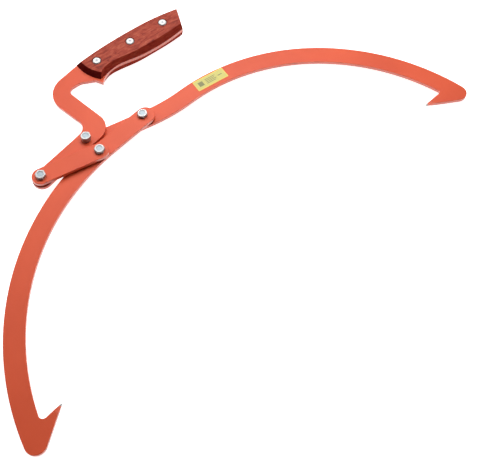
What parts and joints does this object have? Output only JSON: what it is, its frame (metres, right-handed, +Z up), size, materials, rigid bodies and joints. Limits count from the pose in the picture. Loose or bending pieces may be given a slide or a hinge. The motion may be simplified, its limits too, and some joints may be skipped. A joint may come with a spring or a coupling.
{
  "type": "log lifting tongs",
  "caption": "Hand log tongs: two curved hook arms closed by a lever handle with a riveted wooden grip through a four-bar linkage.",
  "frame": {"origin": "centre of the footprint, on the plane under the lowest bolt ends", "axes": "the tongs lie flat: +Z up through the plates, +X along the line joining the two hook tips, towards the right hook, +Y the way the handle is lifted, away from the hooks"},
  "size_m": [0.6062, 0.3318, 0.0261],
  "materials": {
    "red_paint": "gloss powder coat, ground bare at the tips",
    "rosewood": "oiled reddish hardwood",
    "zinc": "bright zinc plate",
    "nylon": "natural nylon",
    "rivet_metal": "polished",
    "label": "satin vinyl"
  },
  "bodies": {
    "handle": {"handle_plate": "red_paint", "grip_scale_front": "rosewood", "grip_scale_rear": "rosewood", "rivet_inner_sleeve": "rivet_metal", "rivet_inner_pin": "rivet_metal", "rivet_middle_sleeve": "rivet_metal", "rivet_middle_pin": "rivet_metal", "rivet_outer_sleeve": "rivet_metal", "rivet_outer_pin": "rivet_metal", "bolt_a": "zinc", "nut_a": "zinc", "insert_a": "nylon", "washer_a": "zinc", "spacer_a": "zinc", "bolt_c": "zinc", "nut_c": "zinc", "insert_c": "nylon", "washer_c": "zinc"},
    "right_arm": {"hook_arm_right": "red_paint", "label_sticker": "label", "bolt_d": "zinc", "nut_d": "zinc", "insert_d": "nylon", "washer_d": "zinc"},
    "left_arm": {"hook_arm_left": "red_paint"},
    "link": {"link_bar": "red_paint", "bolt_b": "zinc", "nut_b": "zinc", "insert_b": "nylon", "washer_b": "zinc"}
  },
  "joints": [
    {"name": "handle_to_right_arm", "type": "hinge", "parent": "handle", "child": "right_arm", "pos_m": [-0.05579, 0.0763, 0], "axis": [0, 0, -1], "range_deg": [-0.8, 98]},
    {"name": "right_arm_to_left_arm", "type": "hinge", "parent": "right_arm", "child": "left_arm", "pos_m": [0.00956, 0.06001, 0], "axis": [0, 0, 1], "range_deg": [-0.8, 98]},
    {"name": "handle_to_link", "type": "hinge", "parent": "handle", "child": "link", "pos_m": [-0.12149, 0.06765, 0], "axis": [0, 0, -1], "range_deg": [-0.8, 98]}
  ],
  "couplings": [
    {"joint": "right_arm_to_left_arm", "follows": "handle_to_right_arm", "ratio": 1},
    {"joint": "handle_to_link", "follows": "handle_to_right_arm", "ratio": 1}
  ]
}
